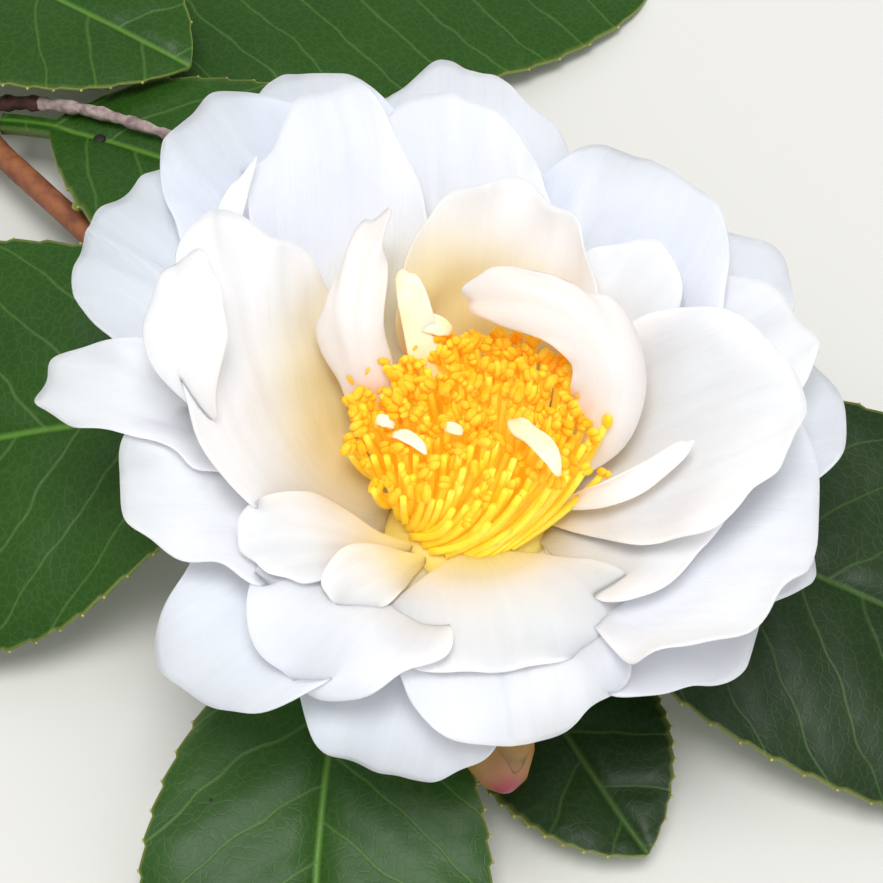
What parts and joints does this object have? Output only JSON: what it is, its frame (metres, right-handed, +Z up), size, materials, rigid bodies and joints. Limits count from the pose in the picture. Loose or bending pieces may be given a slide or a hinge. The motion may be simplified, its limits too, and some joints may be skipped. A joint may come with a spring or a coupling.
{
  "type": "cut flowering camellia sprig",
  "caption": "Cut camellia sprig lying on its leaves: a full double white bloom with yellow stamens, bark-covered stem, glossy serrated leaves, a dry side twig and a bud.",
  "frame": {"origin": "middle of the bounding box's bottom face, on the ground that the sprig lies on", "axes": "+Z up out of the bloom, +X towards the long right-hand leaf, +Y towards the back, where the stem's cut end lies"},
  "size_m": [0.1834, 0.1732, 0.0503],
  "materials": {
    "petal": "soft matte white petal",
    "stamen": "matte yellow",
    "calyx": "satin olive green",
    "bark": "matte orange-brown bark",
    "dry_wood": "matte grey dry wood",
    "leaf": "glossy dark green leaf",
    "bud": "satin pink-red and olive bud scales"
  },
  "bodies": {
    "root": {"bloom": "petal", "stamens": "stamen", "calyx": "calyx", "stem": "bark", "side_twig": "dry_wood", "leaf_1": "leaf", "leaf_2": "leaf", "leaf_3": "leaf", "leaf_4": "leaf", "leaf_5": "leaf", "leaf_6": "leaf", "leaf_7": "leaf", "bud": "bud"}
  },
  "joints": []
}
